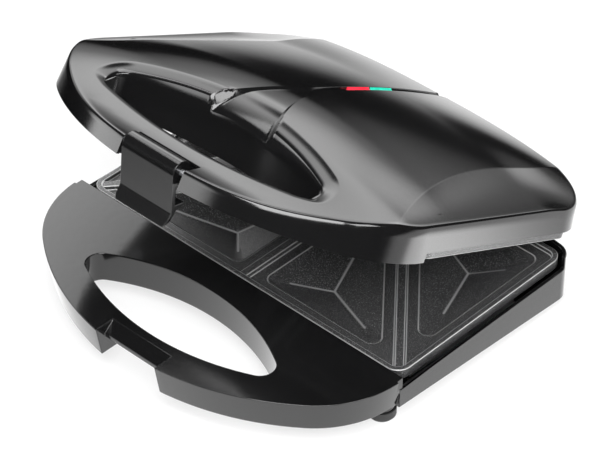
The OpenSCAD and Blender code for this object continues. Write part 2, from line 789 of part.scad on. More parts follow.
module upper_housing() {
    color("#151515") on_lid() translate([0, 0, close_z]) difference() {
        union() {
            difference() {
                lid_volume();
                lid_inside();
                side_cut();
            }
            intersection() {
                lid_core();
                union() {
                    grip_shape(wall, -1, 60);
                    translate([-side_x, -deck_edge - wall, 0]) cube([2 * side_x, wall, 60]);
                    for (p = screw_xy) translate([p[0], p[1], plate_band - plate_drop + bead_gap])
                        cylinder(r = boss_r + 1, h = 60);
                    for (k = [-4, -3, -2, 2, 3, 4]) translate([k * 24 - 0.8, -100, 3])
                        cube([1.6, 98, 60]);
                    translate([-notch_x - pin_hold, -lid_reach - 1, 0])
                        cube([2 * (notch_x + pin_hold), latch_bay + wall + 1, 60]);
                }
            }
            difference() {
                lid_knuckles();
                lid_inside();
            }
        }
        grip_shape(0, -5, 70);
        translate([-notch_x, -lid_reach - 2, -1]) cube([2 * notch_x, latch_bay + 2, 60]);
        lens_slot(0);
        lens_slot(1);
        for (p = screw_xy) translate([p[0], p[1], 0]) cylinder(r = screw_r + seat_gap, h = 12);
        translate([-notch_x - pin_hold - 1, latch_y, latch_up]) rotate([0, 90, 0])
            cylinder(r = latch_pin_r + seat_gap, h = 2 * (notch_x + pin_hold + 1));
        for (s = [-1, 1]) translate([s * hinge_x - 20, hinge_y, hinge_z - close_z])
            rotate([0, 90, 0]) cylinder(r = pin_r + bore_gap, h = 40);
    }
}

module lens_slot(k) {
    translate([-lens_w / 2 - 0.1, lens_y + k * (lens_len + lens_gap) - 0.1, 10])
        cube([lens_w + 0.2, lens_len + 0.2, 60]);
}

// Plate, heater and screws of the lid, hung the other way up
module upside_down() {
    on_lid() translate([0, 0, bead_z + bead_gap]) mirror([0, 0, 1]) children();
}

module upper_plate() {
    color("#262626") upside_down() difference() {
        plate_blank();
        plate_pockets();
        for (p = screw_xy) translate([p[0], p[1], 0]) {
            translate([0, 0, -plate_band - 1]) cylinder(r = screw_r + fit_gap, h = 20);
            translate([0, 0, -land_drop - 0.6]) cylinder(r = screw_head_r + fit_gap, h = 10);
        }
    }
}

module upper_heater() {
    color("#5d5a55") upside_down() heater(-heater_z, heater_r);
}

module upper_heater_terminals() {
    color("#c9c3b4") upside_down() heater_tags(-heater_z);
}

module upper_heat_shield() {
    color("#b9bcc0") upside_down() shield(-pocket_deep - plate_t - 1.4, 0, plate_d - 16);
}

module upper_plate_screws() {
    color("#8f9296") upside_down() for (p = screw_xy) translate([p[0], p[1], -land_drop - 0.6])
        mirror([0, 0, 1]) translate([0, 0, -screw_head_h]) plate_screw();
}

module lens(k) {
    y0 = lens_y + k * (lens_len + lens_gap);
    top = lid_z(0, y0 + lens_len / 2);
    on_lid() translate([0, 0, close_z]) intersection() {
        translate([-lens_w / 2, y0, top - lid_top_t - 3]) cube([lens_w, lens_len, 20]);
        under_surface(-0.3, 0, 16);
    }
}

module red_lens() {
    color("#c4122f") lens(0);
}

module green_lens() {
    color("#0f8f7a") lens(1);
}

lamp_z = lid_z(0, lens_y + lens_len) - lid_top_t - 3.5;

module lamp_holder() {
    color("#e4dfd0") on_lid() translate([0, lens_y - 3, close_z + lamp_z - 8]) difference() {
        translate([-6, 0, 0]) cube([12, 2 * lens_len + 8, 8]);
        for (k = [0, 1]) translate([-4, 3 + k * (lens_len + lens_gap), 1.5])
            cube([8, lens_len, 8]);
    }
}

module neon_lamps() {
    color("#ff7a3c") on_lid() for (k = [0, 1])
        translate([0, lens_y + 4 + k * (lens_len + lens_gap), close_z + lamp_z - 3.8])
            rotate([-90, 0, 0]) {
                cylinder(r = 2.4, h = 11);
                translate([0, 0, 11]) sphere(r = 2.4);
            }
}

module latch_pin() {
    color("#9b9ea3") on_lid() translate([-notch_x - pin_hold, latch_y, latch_z]) rotate([0, 90, 0])
        cylinder(r = latch_pin_r, h = 2 * (notch_x + pin_hold));
}

// Side view of the latch about its pivot: face to -y, hook to +y, hanging down
module latch_side() {
    r = latch_head_r;
    polygon([
        [-r, 0], [-r, -latch_len], [-r - latch_lip, -latch_len - latch_lip_h],
        [-r - latch_lip + latch_t * 0.8, -latch_len - latch_lip_h - 0.6],
        [latch_t - r, -latch_len - 0.8], [latch_t - r, hook_z - 3.2],
        [hook_y, hook_z - 1.6], [hook_y, hook_z], [latch_t - r, hook_z + 0.6],
        [latch_t - r, -r - 1.5], [-0.5, -r + 1.4], [0, 0]
    ]);
}

module latch() {
    color("#1d1d1d") on_lid() translate([-latch_w / 2, latch_y, latch_z])
        rotate([latch_hang, 0, 0]) difference() {
            union() {
                rotate([0, 90, 0]) cylinder(r = latch_head_r, h = latch_w);
                intersection() {
                    rotate([90, 0, 90]) linear_extrude(latch_w) latch_side();
                    latch_front();
                }
            }
            translate([-5, 0, 0]) rotate([0, 90, 0])
                cylinder(r = latch_pin_r + bore_gap, h = latch_w + 10);
        }
}

// Front view of the latch, with the finger lip's corners rounded
module latch_front() {
    r = 6;
    low = -latch_len - latch_lip_h - 2;
    translate([0, -30, 0]) {
        translate([0, 0, low + r]) cube([latch_w, 60, 60]);
        translate([r, 0, low]) cube([latch_w - 2 * r, 60, 60]);
        for (x = [r, latch_w - r]) translate([x, 0, low + r]) rotate([-90, 0, 0])
            cylinder(r = r, h = 60);
    }
}

lower_housing();
lower_plate();
lower_heater();
lower_heat_shield();
lower_plate_screws();
front_feet();
rear_feet();
hinge_pins();
cord_grommet();
thermostat();
thermal_fuse();
terminal_block();
lower_heater_terminals();
power_leads();
upper_housing();
upper_plate();
upper_heater();
upper_heat_shield();
upper_plate_screws();
red_lens();
green_lens();
lamp_holder();
neon_lamps();
upper_heater_terminals();
latch_pin();
latch();
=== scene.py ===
# %% [markdown]
# A sandwich toaster stands open on a pale floor. The engineering model fixes every size and every
# hinge, and it is loaded first. The rest of this lesson gives it a skin: fine curved shells where
# the surface is sculpted, small radii on every edge that a hand would touch, and a finish for each
# material.

# %% Load the frame
import json
import math

import bmesh
import bpy
from mathutils import Matrix, Vector
from mathutils.geometry import delaunay_2d_cdt
from mathutils.kdtree import KDTree

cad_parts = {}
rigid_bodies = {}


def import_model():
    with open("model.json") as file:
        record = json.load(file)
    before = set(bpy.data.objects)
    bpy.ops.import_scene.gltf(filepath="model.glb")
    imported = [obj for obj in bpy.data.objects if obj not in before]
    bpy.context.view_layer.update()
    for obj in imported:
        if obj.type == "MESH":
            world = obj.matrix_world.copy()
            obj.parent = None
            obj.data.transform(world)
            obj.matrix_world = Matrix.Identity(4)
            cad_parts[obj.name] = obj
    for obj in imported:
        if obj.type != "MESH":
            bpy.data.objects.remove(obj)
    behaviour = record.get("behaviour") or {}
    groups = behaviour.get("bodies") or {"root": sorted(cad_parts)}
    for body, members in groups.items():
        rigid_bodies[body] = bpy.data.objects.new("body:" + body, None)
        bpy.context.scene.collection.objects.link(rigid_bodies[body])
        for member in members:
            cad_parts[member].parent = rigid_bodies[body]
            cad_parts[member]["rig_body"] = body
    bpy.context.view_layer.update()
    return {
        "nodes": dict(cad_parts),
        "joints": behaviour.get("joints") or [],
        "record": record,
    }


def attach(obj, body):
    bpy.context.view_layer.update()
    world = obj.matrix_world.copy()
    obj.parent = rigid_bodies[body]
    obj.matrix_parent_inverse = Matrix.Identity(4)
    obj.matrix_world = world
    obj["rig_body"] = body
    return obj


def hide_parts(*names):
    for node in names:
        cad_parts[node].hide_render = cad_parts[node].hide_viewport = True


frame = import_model()

# %% [markdown]
# The camera comes first, because every later choice is judged through it. It is a long lens high
# over the right front corner, so parallel edges hardly converge. It is placed by its bearing, its
# height over the horizon and its distance from a point in the middle of the part.

# %% Camera
MM = 0.001
CAMERA_BEARING = math.radians(43.17)
CAMERA_RISE = math.radians(39.09)
CAMERA_ROLL = math.radians(0.18)
CAMERA_DISTANCE = 1.5
CAMERA_AIM = Vector((0.0241, -0.0179, 0.0641))
LENS = 178.7


def place_camera():
    """A camera that looks down at the aim point from its bearing and rise."""
    back = Vector((math.sin(CAMERA_BEARING) * math.cos(CAMERA_RISE),
                   -math.cos(CAMERA_BEARING) * math.cos(CAMERA_RISE),
                   math.sin(CAMERA_RISE)))
    data = bpy.data.cameras.new("camera")
    data.lens = LENS
    data.sensor_width = 36
    camera = bpy.data.objects.new("camera", data)
    bpy.context.scene.collection.objects.link(camera)
    turn = (-back).to_track_quat("-Z", "Y").to_matrix().to_4x4()
    camera.matrix_world = (Matrix.Translation(CAMERA_AIM + CAMERA_DISTANCE * back)
                           @ turn @ Matrix.Rotation(CAMERA_ROLL, 4, "Z"))
    bpy.context.scene.camera = camera
    return camera


camera = place_camera()
print("camera stands at", [round(v, 4) for v in camera.matrix_world.translation])

# %% [markdown]
# Shader maths reads best as ordinary sums. This small class wraps a socket, so that an expression
# such as `1 - mask * 0.3` adds its own Math nodes, and one method makes every other node.

# %% Shader expressions


class Value:
    """A number that varies over a surface: a socket with arithmetic."""

    def __init__(self, nodes, socket):
        self.nodes = nodes
        self.socket = socket

    def math(self, operation, *others):
        """A Math node of this value and the others."""
        return self.nodes.node("ShaderNodeMath", {"operation": operation},
                               dict(enumerate((self, *others))))

    def __add__(self, other):
        return self.math("ADD", other)

    def __radd__(self, other):
        return self.math("ADD", other)

    def __rsub__(self, other):
        return self.nodes.node("ShaderNodeMath", {"operation": "SUBTRACT"}, {0: other, 1: self})

    def __mul__(self, other):
        return self.math("MULTIPLY", other)


class Nodes:
    """A node tree that is written as expressions."""

    def __init__(self, owner):
        owner.use_nodes = True
        self.tree = owner.node_tree
        self.tree.nodes.clear()

    def put(self, socket, value):
        """Links a value to a socket, or sets a plain number or colour on it."""
        if isinstance(value, Value):
            self.tree.links.new(value.socket, socket)
        elif isinstance(value, (tuple, list)) and socket.type == "RGBA" and len(value) == 3:
            socket.default_value = (*value, 1)
        else:
            socket.default_value = value

    def node(self, kind, settings=None, inputs=None, output=0):
        """Any node: its settings first, then the values or links of its sockets."""
        made = self.tree.nodes.new(kind)
        for name, value in (settings or {}).items():
            if name == "stops":
                ramp = made.color_ramp
                while len(ramp.elements) < len(value):
                    ramp.elements.new(0.5)
                for element, (place, level) in zip(ramp.elements, value):
                    element.position = place
                    element.color = (level, level, level, 1)
            else:
                setattr(made, name, value)
        for name, value in (inputs or {}).items():
            self.put(made.inputs[name], value)
        return Value(self, made.outputs[output])

    def mix_shaders(self, factor, first, second):
        return self.node("ShaderNodeMixShader", {}, {0: factor, 1: first, 2: second})

    def rise(self, value, low, high):
        """Eases from 0 at low to 1 at high."""
        return self.node("ShaderNodeMapRange", {"interpolation_type": "SMOOTHSTEP"},
                         {"Value": value, "From Min": low, "From Max": high})

    def axes(self, vector):
        """The three coordinates of a vector."""
        split = self.node("ShaderNodeSeparateXYZ", {}, {0: vector}).socket.node
        return [Value(self, socket) for socket in split.outputs]

    def measure(self, operation, first, second):
        """A number from two vectors: their DISTANCE or DOT_PRODUCT."""
        return self.node("ShaderNodeVectorMath", {"operation": operation},
                         {0: first, 1: second}, output="Value")


class Finish(Nodes):
    """A node material of one principled shader."""

    def __init__(self, name):
        self.material = bpy.data.materials.new(name)
        super().__init__(self.material)
        self.shader = self.tree.nodes.new("ShaderNodeBsdfPrincipled")
        self.output = self.tree.nodes.new("ShaderNodeOutputMaterial")
        self.tree.links.new(self.shader.outputs[0], self.output.inputs[0])

    def place(self, scale=(1, 1, 1)):
        """Object coordinates, stretched by scale."""
        coordinates = self.node("ShaderNodeTexCoord", output=3)
        return self.node("ShaderNodeMapping", {}, {"Vector": coordinates, "Scale": scale})

    def noise(self, scale, detail=2, roughness=0.5, stretch=(1, 1, 1)):
        """Smooth noise between 0 and 1, with about scale bumps in a metre."""
        return self.node("ShaderNodeTexNoise", {}, {
            "Vector": self.place(stretch), "Scale": scale, "Detail": detail,
            "Roughness": roughness})

    def ramp(self, value, stops):
        return self.node("ShaderNodeValToRGB", {"stops": stops}, {"Fac": value})

    def blend(self, factor, first, second):
        """A colour between two others."""
        return self.node("ShaderNodeMix", {"data_type": "RGBA"},
                         {0: factor, 6: first, 7: second}, output=2)

    def bump(self, height, distance):
        """Raises the surface by height times distance, in metres."""
        return self.node("ShaderNodeBump", {}, {
            "Strength": 1.0, "Distance": distance, "Height": height})

    def set(self, **sockets):
        """Sets the shader's sockets by name, with _ for a space."""
        for name, value in sockets.items():
            self.put(self.shader.inputs[name.replace("_", " ")], value)
        return self


print("shader expressions are ready")

# %% [markdown]
# Both housings and the latch are black plastic out of a polished mould. Seen close, such a surface
# is not flat black: the melt leaves a very shallow ripple, and handling leaves patches that shine
# a little less. Both are tiny, and they feed the roughness and the bump.

# %% Gloss black plastic
DUST_GREY = (0.03, 0.03, 0.031)
RIPPLE = 0.00001


def gloss_black(name, depth, shine):
    """Black plastic: depth is how light its black is, shine its least roughness."""
    finish = Finish(name)
    patches = finish.noise(18, detail=3)
    dust = finish.ramp(finish.noise(2600, detail=1), [(0.66, 0), (0.74, 1)])
    tint = finish.blend(patches, (depth * 0.8, depth * 0.8, depth * 0.82),
                        (depth * 1.25, depth * 1.25, depth * 1.3))
    finish.set(Base_Color=finish.blend(dust * 0.25, tint, DUST_GREY),
               Roughness=patches * 0.05 + shine + dust * 0.08,
               Normal=finish.bump(finish.noise(260, detail=2), RIPPLE))
    return finish.material


housing_black = gloss_black("housing_black", 0.004, 0.09)
latch_black = gloss_black("latch_black", 0.005, 0.12)
print("gloss black is made")

# %% [markdown]
# The cooking plates are cast aluminium under a sprayed non-stick coating. The spray dries to a fine
# grain with lighter flecks in it, half matte, so the plates show soft broad highlights. The folds
# in the lower plate's pockets and the plates' rounded edges get a painted highlight line, pale and
# metallic. The shallow folds are found by the distance from their lines, which are given in
# millimetres for the right half.

# %% Painted highlights on the creases of the pockets
CREASES = [((34.8, -3.1), corner) for corner in ((9, -29), (92, -29), (9, 69))]
CREASES += [((75.2, 55.2), corner) for corner in ((101, 71), (17, 71), (101, -6))]
CREASE_SHARE = 0.62
CREASE_HALF_W, CREASE_FADE = 0.0002, 0.001
POCKET_TOP, POCKET_FADE = 0.028, 0.03


def painted_crease_highlight(finish):
    """Mask of the painted highlight on the folds of the lower plate's pockets: 1 on them, 0 away.
    """
    x, y, z = finish.axes(finish.place())
    point = finish.node("ShaderNodeCombineXYZ", {}, {0: x.math("ABSOLUTE"), 1: y})
    closest = None
    for start, end in CREASES:
        start, end = (Vector((*place, 0)) * MM for place in (start, end))
        way = (end - start) * CREASE_SHARE
        off = finish.node("ShaderNodeVectorMath", {"operation": "SUBTRACT"}, {0: point, 1: start})
        along = finish.measure("DOT_PRODUCT", off, way / way.length_squared)
        foot = finish.node("ShaderNodeVectorMath", {"operation": "SCALE"},
                           {0: way, "Scale": finish.node("ShaderNodeClamp", {}, {0: along})})
        away = finish.measure("DISTANCE", off, foot)
        closest = away if closest is None else closest.math("MINIMUM", away)
    line = 1 - finish.rise(closest, CREASE_HALF_W, CREASE_FADE)
    return line * 0.8 * (1 - finish.rise(z, POCKET_TOP, POCKET_FADE))


print(len(CREASES), "creases are drawn on each side of the middle")

# %% [markdown]
# The coating paints highlight lines on those creases, and on the rounded edges that an
# attribute marks.

# %% Non-stick coating
# The pale grey of the painted highlight lines on folds and rounded edges.
PAINTED_HIGHLIGHT_GREY = (0.5, 0.5, 0.5)


def nonstick_coating():
    finish = Finish("nonstick")
    grain = finish.noise(1500, detail=3, roughness=0.65)
    flecks = finish.ramp(finish.noise(2300, detail=1), [(0.58, 0), (0.7, 1)])
    clouds = finish.noise(35, detail=2)
    # Painted highlight lines: the rounded edges' attribute and the creases' mask.
    edge = finish.node("ShaderNodeAttribute", {"attribute_name": "edge"}, output=2)
    edge = edge.math("MAXIMUM", painted_crease_highlight(finish))
    base = finish.blend(clouds, (0.012, 0.012, 0.0125), (0.025, 0.025, 0.0255))
    coat = finish.blend(flecks * 0.7, base, (0.42, 0.42, 0.425))
    # The painted highlight lines are paler and more metallic than the coat.
    finish.set(Base_Color=finish.blend(edge * 0.8, coat, PAINTED_HIGHLIGHT_GREY),
               Roughness=grain * 0.25 + 0.22,
               Metallic=flecks * 0.4 + edge * 0.4,
               Normal=finish.bump(grain, 0.00012))
    return finish.material


nonstick = nonstick_coating()
print("non-stick coating is made")

# %% [markdown]
# The small metal parts are drawn, rolled or plated. Each keeps the marks of how it was made: a
# drawn tube has lines along it and heat tints, rolled sheet is brushed one way, and plated steel
# is mottled by its grain.

# %% Metals


def metal(name, dark, light, rough, scale, stretch=(1, 1, 1), relief=0.00002):
    finish = Finish(name)
    marks = finish.noise(scale, detail=4, roughness=0.6, stretch=stretch)
    stain = finish.noise(40, detail=3)
    finish.set(Base_Color=finish.blend(stain, dark, light), Metallic=0.95,
               Roughness=marks * 0.2 + rough + stain * 0.06,
               Normal=finish.bump(marks, relief))
    return finish.material


heater_sheath = metal("heater_sheath", (0.2, 0.15, 0.12), (0.42, 0.38, 0.34), 0.3, 900)
reflector = metal("reflector", (0.66, 0.67, 0.69), (0.78, 0.79, 0.8), 0.22, 400, (1, 0.04, 1))
zinc = metal("zinc", (0.46, 0.47, 0.49), (0.62, 0.63, 0.65), 0.28, 1200)
fuse_gold = metal("fuse_gold", (0.55, 0.42, 0.2), (0.78, 0.62, 0.33), 0.25, 700)
print("metals are made")

# %% [markdown]
# Rubber, silicone and ceramic don't shine. Their colour is cloudy, and a fine tooth on the surface
# scatters the light.

# %% Rubber and ceramic


def matte(name, dark, light, rough, scale, relief):
    finish = Finish(name)
    tooth = finish.noise(scale, detail=3, roughness=0.6)
    cloud = finish.noise(60, detail=2)
    finish.set(Base_Color=finish.blend(cloud, dark, light),
               Roughness=tooth * 0.15 + rough,
               Normal=finish.bump(tooth, relief))
    return finish.material


rubber_black = matte("rubber_black", (0.012, 0.012, 0.012), (0.03, 0.03, 0.03), 0.6, 1400, 0.00008)
ceramic = matte("ceramic", (0.62, 0.58, 0.49), (0.78, 0.75, 0.67), 0.45, 900, 0.00005)
lead_red = matte("lead_red", (0.36, 0.04, 0.03), (0.5, 0.08, 0.06), 0.42, 600, 0.00003)
print("rubber and ceramic are made")

# %% [markdown]
# The two lenses are clear coloured plastic over a lamp. They are deep in colour, lighter in random
# patches, and they glow faintly with painted light; their tops are ribbed to spread the light.

# %% Lenses and lamps


def lens_plastic(name, deep, bright):
    finish = Finish(name)
    glow = finish.noise(160, detail=1)
    ribs = finish.node("ShaderNodeTexWave", {"bands_direction": "Y"},
                       {"Vector": finish.place(), "Scale": 180})
    # Painted glow: the lens emits faintly in its own colours, lighter in the same patches.
    finish.set(Base_Color=finish.blend(glow, deep, bright),
               Emission_Color=finish.blend(glow, deep, bright), Emission_Strength=0.25,
               Roughness=glow * 0.1 + 0.12,
               Normal=finish.bump(ribs, 0.00006))
    return finish.material


def lamp_glass():
    finish = Finish("neon")
    haze = finish.noise(300, detail=2)
    finish.set(Base_Color=finish.blend(haze, (0.9, 0.5, 0.28), (1.0, 0.75, 0.55)),
               Roughness=haze * 0.1 + 0.05, Transmission_Weight=0.5)
    return finish.material


lens_red = lens_plastic("lens_red", (0.5, 0.006, 0.02), (0.85, 0.03, 0.06))
lens_green = lens_plastic("lens_green", (0.0, 0.3, 0.2), (0.03, 0.62, 0.45))
neon = lamp_glass()
print("lenses and lamps are made")

# %% [markdown]
# Every node of the engineering model has a material slot in its record. A small table pairs those
# slots with the finishes, so that each node gets its finish even where no finer piece replaces it.

# %% Dress the engineering model
FINISHES = {
    "housing_black": housing_black, "latch_black": latch_black, "nonstick": nonstick,
    "heater_sheath": heater_sheath, "reflector": reflector, "zinc": zinc,
    "fuse_gold": fuse_gold, "rubber_black": rubber_black, "ceramic": ceramic,
    "lead_red": lead_red, "lens_red": lens_red, "lens_green": lens_green, "neon": neon,
}
SLOTS = {part["node"]: part["material_slot"] for part in frame["record"]["subparts"]}
for node, cad in frame["nodes"].items():
    cad.data.materials.clear()
    cad.data.materials.append(FINISHES[SLOTS[node]])
print(len(SLOTS), "nodes are dressed")

# %% [markdown]
# The engineering model is drawn in millimetres from the front edge of the cooking plates, and the
# lid in its own frame, shut. The lid's pieces below are modelled the same way, and one matrix
# takes each of them to its place. It follows from where the hinge lies.

# %% Place of the lid
lid_joint = next(joint for joint in frame["joints"] if joint["name"] == "lid_hinge")
HINGE = Vector(lid_joint["pos_m"]) / MM
PLATE_W, PLATE_D = 220, 128
HINGE_BACK = 22
CLOSE_GAP = 0.6
LID_OPEN = math.radians(25.3)
hinge_y = PLATE_D + HINGE_BACK
LID_PLACE = (Matrix.Scale(MM, 4) @ Matrix.Translation(HINGE) @ Matrix.Rotation(-LID_OPEN, 4, "X")
             @ Matrix.Translation((0, -hinge_y, CLOSE_GAP)))
print("the plates' front edge is at", round((HINGE.y - hinge_y) * MM, 5))

# %% [markdown]
# The top of the lid is a sculpted form: a rim that sinks towards the handle, a crown over it, a
# hollow that narrows into a groove down the middle, and a scoop in each rear corner. It is easiest
# to keep as a height for every place, close to the heights that the engineering model has.

# %% Rim and crown of the lid
SIDE = PLATE_W / 2 + 5.5
LID_LEAN = math.tan(math.radians(8))
RIM_FRONT, RIM_SIDE, CROWN = 10, 18, 19
RISE_START, RIM_RISE_LEN, CROWN_RISE_LEN = -80, 60, 95
CROWN_TOP_Y, FALL_START, FALL_LEN, FALL = 15, 30, 105, 0.4
REAR_START, REAR_LEN = 93, 45


def share(t):
    return max(0.0, min(1.0, t))


def smooth(t):
    return share(t) ** 2 * (3 - 2 * share(t))


def mix(a, b, t):
    return a + (b - a) * t


def rear(y):
    """0 over the middle of the lid, rising to 1 at its back."""
    return smooth((y - REAR_START) / REAR_LEN)


def rim_z(y):
    return mix(RIM_FRONT, RIM_SIDE, smooth((y - RISE_START) / RIM_RISE_LEN))


def crown_z(x, y):
    if y < CROWN_TOP_Y:
        swell = smooth((y - RISE_START) / CROWN_RISE_LEN)
    else:
        swell = 1 - FALL * (max(0, y - FALL_START) / FALL_LEN) ** 2
    return rim_z(y) + CROWN * (1 - (x / (SIDE + 0.5)) ** (2 + 0.8 * rear(y))) * swell


print("the crown is", round(crown_z(0, FALL_START), 1), "mm high, the rim", round(rim_z(0), 1))

# %% [markdown]
# The hollow and the groove are one form, cut to a depth that grows into the grip hole. Its edge is
# a narrow bank. The scoops begin at an edge that swings in towards the back, and fall away from the
# crown to the rim in a curve.

# %% Hollow and scoops of the lid
HOLLOW_W, HOLLOW_DEEP, HOLLOW_START, HOLLOW_LEN, HOLLOW_TAPER = 23, 11, -26, 76, 2.2
GROOVE_W, GROOVE_DEEP = 2.2, 1.3
BANK, HANDLE_Y = 0.14, -42
ROLL_START, ROLL_LEN = -4, 22
SCOOP_X, SCOOP_TURN, SCOOP_LEN, SCOOP_SWING = SIDE - 35.5, 86, 117, 30
SCOOP_SINK, SCOOP_SINK_REAR, SCOOP_CURVE = 0.6, 4, 1.7


def hollow_half(y):
    """Half the width of the hollow and its groove."""
    narrow = (1 - share((y - HOLLOW_START) / HOLLOW_LEN)) ** HOLLOW_TAPER
    return GROOVE_W + (HOLLOW_W - GROOVE_W) * narrow


def in_hollow(x, y):
    """1 on the hollow's floor, falling to 0 at its edges; there is none in front of the hole."""
    return share((1 - abs(x) / hollow_half(y)) / BANK) if y > HANDLE_Y else 0.0


def hollow_drop(x, y):
    roll = share((ROLL_START - y) / ROLL_LEN)
    return (GROOVE_DEEP + (HOLLOW_DEEP - GROOVE_DEEP) * roll ** 2) * in_hollow(x, y)


def scoop_edge(y):
    """Where the right-hand scoop begins."""
    if y < SCOOP_TURN:
        return min(SIDE + 2, SCOOP_X + SCOOP_SWING * ((SCOOP_TURN - y) / SCOOP_LEN) ** 2)
    return SCOOP_X + 3 * smooth((y - SCOOP_TURN) / 40)


def scoop_z(x, y):
    edge = scoop_edge(y)
    t = share((x - edge) / (SIDE + 4 - edge))
    foot = rim_z(y) - mix(SCOOP_SINK, SCOOP_SINK_REAR, rear(y))
    return mix(crown_z(edge, y), foot, 1 - (1 - t) ** mix(SCOOP_CURVE, 1, rear(y)))


def lid_z(x, y):
    x = abs(x)
    return scoop_z(x, y) if x > scoop_edge(y) else crown_z(x, y) - hollow_drop(x, y)


print("the hollow is", round(hollow_drop(0, HOLLOW_START), 1), "mm deep at the grip hole")

# %% [markdown]
# Both outlines, the lid's own and its grip hole's, are rings of arcs. Each point of a ring carries
# the direction that faces outwards there, so that a whole ring can be shrunk or grown by moving its
# points along those directions.

# %% Rings
LID_REACH, FRONT_R, FRONT_CORNER_R = 86, 150, 59
LID_BACK, BACK_R, LID_CORNER_R = PLATE_D + 20.5, 1400, 35
HOLE_BACK, HOLE_W, HOLE_BACK_R, HOLE_FRONT_R, HOLE_END_R = 23, 37.5, 175, 260, 9


def arc(centre, radius, start, stop, pitch):
    """Points along an arc, each with its outward direction."""
    steps = max(2, round(abs(stop - start) * radius / pitch))
    turns = [mix(start, stop, k / steps) for k in range(steps + 1)]
    ways = [Vector((math.cos(a), math.sin(a), 0)) for a in turns]
    return [(Vector((*centre, 0)) + radius * way, way) for way in ways]


def rounded_end(tip, wide_r, corner_r, pitch):
    """Right half of a rounded end: a wide arc, then a corner arc."""
    wide_y, corner_x = wide_r - tip, SIDE - corner_r
    corner_y = wide_y - math.sqrt((wide_r - corner_r) ** 2 - corner_x ** 2)
    turn = math.atan2(corner_x, wide_y - corner_y) - math.pi / 2
    return (arc((0, wide_y), wide_r, -math.pi / 2, turn, pitch)[:-1]
            + arc((corner_x, corner_y), corner_r, turn, 0, pitch))


def lid_ring(pitch):
    """The lid's outline at the skirt's foot: rounded ends and straight sides."""
    front = rounded_end(LID_REACH, FRONT_R, FRONT_CORNER_R, pitch)
    back = [(Vector((p.x, -p.y, 0)), Vector((n.x, -n.y, 0)))
            for p, n in reversed(rounded_end(LID_BACK, BACK_R, LID_CORNER_R, pitch))]
    low, high = front[-1][0].y, back[0][0].y
    count = round((high - low) / pitch)
    side = [(Vector((SIDE, mix(low, high, k / count), 0)), Vector((1, 0, 0)))
            for k in range(1, count)]
    right = front + side + back
    left = [(Vector((-p.x, p.y, 0)), Vector((-n.x, n.y, 0))) for p, n in reversed(right[1:-1])]
    return right + left


def hole_ring(pitch):
    """A lens: a wide arc at the back, another in front, and a small one at each end."""
    back_y, front_y = -HOLE_BACK - HOLE_BACK_R, HOLE_FRONT_R - HOLE_BACK - HOLE_W
    rb, rf = HOLE_BACK_R - HOLE_END_R, HOLE_FRONT_R - HOLE_END_R
    end_y = (rb * rb - rf * rf + front_y ** 2 - back_y ** 2) / (2 * (front_y - back_y))
    end_x = math.sqrt(rb * rb - (end_y - back_y) ** 2)
    tb, tf = math.atan2(end_y - back_y, end_x), math.atan2(front_y - end_y, end_x)
    pi = math.pi
    return (arc((0, back_y), HOLE_BACK_R, tb, pi - tb, pitch)[:-1]
            + arc((-end_x, end_y), HOLE_END_R, pi - tb, pi + tf, pitch)[:-1]
            + arc((0, front_y), HOLE_FRONT_R, pi + tf, 2 * pi - tf, pitch)[:-1]
            + arc((end_x, end_y), HOLE_END_R, -tf, tb, pitch)[:-1])


outline, hole = lid_ring(1.5), hole_ring(0.8)
print("the outline has", len(outline), "points and the hole", len(hole))

# %% [markdown]
# The lid's outside is one skin. Its middle is a grid whose columns are drawn together along the
# edges of the hollow and the scoops, so that those edges stay crisp. Rings of faces follow the rim
# and the lip of the hole, where a grid would leave a jagged edge, and a triangle fill joins rings
# and grid. The skirt and the hole's wall are extruded from the rings.

# %% Grid of the lid's top
LIP_BACK, LIP_FRONT = 7.5, 3.0
RIM_BAND, LIP_BAND = 3.8, LIP_BACK + 1.4
GRID_ROWS = 108
CRISP = 0.6


def nearest(ring):
    """A function that gives how far outside a ring a place lies."""
    tree = KDTree(len(ring))
    for k, (point, _) in enumerate(ring):
        tree.insert(point, k)
    tree.balance()

    def outside(x, y):
        point, k, _ = tree.find((x, y, 0))
        return (Vector((x, y, 0)) - point).dot(ring[k][1])
    return outside


beyond_rim, beyond_hole = nearest(outline), nearest(hole)


def steps(start, stop, count):
    return [mix(start, stop, (k + 1) / count) for k in range(count)]


def columns(y):
    """Places across the lid, drawn together at the edges of the hollow and the scoop."""
    half, edge = hollow_half(y), scoop_edge(y)
    bank = half * (1 - BANK)
    soft = min(0.5, half * BANK * 0.3)
    right = [0, bank * 0.35, bank * 0.7, bank - 2 * soft, bank, half - soft, half, half + soft]
    right += steps(half + soft, edge - CRISP, 23)[:-1]
    right += [edge - CRISP, edge, edge + CRISP]
    right += steps(edge + CRISP, max(SIDE + 4, edge + 8), 15)
    return [-x for x in reversed(right[1:])] + right


def crown_grid(skin):
    """Grid of the lid's top, without what the rings cover; returns its vertices."""
    width = len(columns(0))
    verts = bmesh.ops.create_grid(skin, x_segments=width - 1, y_segments=GRID_ROWS - 1,
                                  size=1)["verts"]
    lost = []
    for k, vert in enumerate(sorted(verts, key=lambda v: (round(v.co.y, 4), v.co.x))):
        y = mix(-LID_REACH, LID_BACK, (k // width) / (GRID_ROWS - 1))
        x = columns(y)[k % width]
        vert.co = (x, y, lid_z(x, y))
        if (beyond_rim(x, y) > -vert.co.z * LID_LEAN - RIM_BAND
                or beyond_hole(x, y) < LIP_BAND):
            lost.append(vert)
    while lost:
        bmesh.ops.delete(skin, geom=lost, context="VERTS")
        lost = [v for v in skin.verts if not v.link_faces
                or sum(e.is_boundary for e in v.link_edges) > 2]
    return list(skin.verts)


print("the grid has", len(columns(0)), "columns and", GRID_ROWS, "rows")

# %% [markdown]
# A ring of edges is swept through rings of points: each step extrudes the loop and moves its new
# points. The rim's rings start at the skirt's foot, go up the leaning skirt, round the edge on a
# small radius and a little way onto the top.

# %% Rings of the rim
RIM_R, RIM_INSET = 1.3, 2.8


